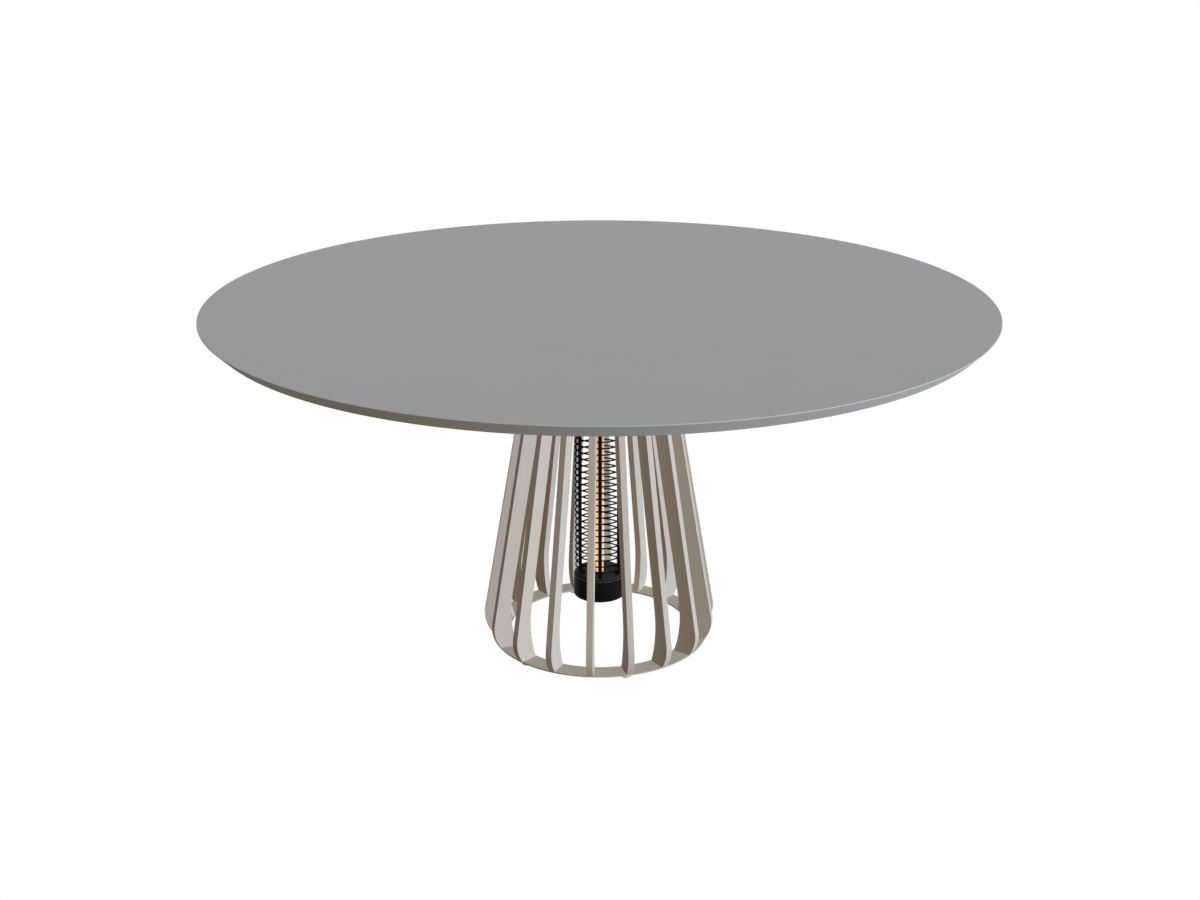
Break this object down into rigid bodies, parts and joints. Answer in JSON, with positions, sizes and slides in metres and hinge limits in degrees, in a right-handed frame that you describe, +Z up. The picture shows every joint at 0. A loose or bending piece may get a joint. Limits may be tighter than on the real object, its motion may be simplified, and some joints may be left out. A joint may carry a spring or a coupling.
{
  "type": "outdoor dining table",
  "caption": "Round outdoor dining table: a grey top with an undercut edge on a flared pedestal of upright slats, with a caged electric heater hung inside.",
  "frame": {"origin": "on the floor, on the axis of the table", "axes": "+Z up, the pictured front towards -Y"},
  "size_m": [1.5998, 1.5998, 0.75],
  "materials": {
    "top_laminate": "matt compact laminate, fine grained",
    "taupe_coat": "taupe powder coat on steel, fine texture",
    "zinc": "zinc plated",
    "pad_nylon": "pale grey nylon",
    "heater_black": "satin black heat-proof paint",
    "cage_black": "matt black heat-proof paint",
    "quartz": "clear quartz",
    "hot_carbon": "glowing carbon",
    "white_ceramic": "unglazed steatite",
    "terminal_nylon": "white nylon",
    "gland_nylon": "black nylon"
  },
  "bodies": {
    "table": {"table_top": "top_laminate", "top_plate": "taupe_coat", "floor_ring": "taupe_coat", "top_screws": "zinc", "heater_spacers": "zinc", "heater_screws": "zinc", "drum_screws": "zinc", "upper_drum": "heater_black", "upper_lid": "heater_black", "lower_drum": "heater_black", "lower_lid": "heater_black", "cage_rings": "cage_black", "quartz_tube": "quartz", "heating_element": "hot_carbon", "lamp_cap_lower": "white_ceramic", "lamp_cap_upper": "white_ceramic", "lamp_holder_lower": "white_ceramic", "lamp_holder_upper": "white_ceramic", "terminal_block": "terminal_nylon", "thermal_cutout": "zinc", "cable_gland": "gland_nylon", "slat_01": "taupe_coat", "slat_02": "taupe_coat", "slat_03": "taupe_coat", "slat_04": "taupe_coat", "slat_05": "taupe_coat", "slat_06": "taupe_coat", "slat_07": "taupe_coat", "slat_08": "taupe_coat", "slat_09": "taupe_coat", "slat_10": "taupe_coat", "slat_11": "taupe_coat", "slat_12": "taupe_coat", "slat_13": "taupe_coat", "slat_14": "taupe_coat", "slat_15": "taupe_coat", "slat_16": "taupe_coat", "slat_17": "taupe_coat", "slat_18": "taupe_coat", "cage_bar_1": "cage_black", "cage_bar_2": "cage_black", "cage_bar_3": "cage_black", "cage_bar_4": "cage_black", "cage_bar_5": "cage_black", "cage_bar_6": "cage_black"},
    "foot_1": {"foot_pad_1": "pad_nylon", "foot_stem_1": "zinc"},
    "foot_2": {"foot_pad_2": "pad_nylon", "foot_stem_2": "zinc"},
    "foot_3": {"foot_pad_3": "pad_nylon", "foot_stem_3": "zinc"},
    "foot_4": {"foot_pad_4": "pad_nylon", "foot_stem_4": "zinc"},
    "foot_5": {"foot_pad_5": "pad_nylon", "foot_stem_5": "zinc"},
    "foot_6": {"foot_pad_6": "pad_nylon", "foot_stem_6": "zinc"}
  },
  "joints": [
    {"name": "foot_1_level", "type": "slide", "parent": "table", "child": "foot_1", "axis": [0, 0, 1], "range_m": [-0.008, 0]},
    {"name": "foot_2_level", "type": "slide", "parent": "table", "child": "foot_2", "axis": [0, 0, 1], "range_m": [-0.008, 0]},
    {"name": "foot_3_level", "type": "slide", "parent": "table", "child": "foot_3", "axis": [0, 0, 1], "range_m": [-0.008, 0]},
    {"name": "foot_4_level", "type": "slide", "parent": "table", "child": "foot_4", "axis": [0, 0, 1], "range_m": [-0.008, 0]},
    {"name": "foot_5_level", "type": "slide", "parent": "table", "child": "foot_5", "axis": [0, 0, 1], "range_m": [-0.008, 0]},
    {"name": "foot_6_level", "type": "slide", "parent": "table", "child": "foot_6", "axis": [0, 0, 1], "range_m": [-0.008, 0]}
  ]
}
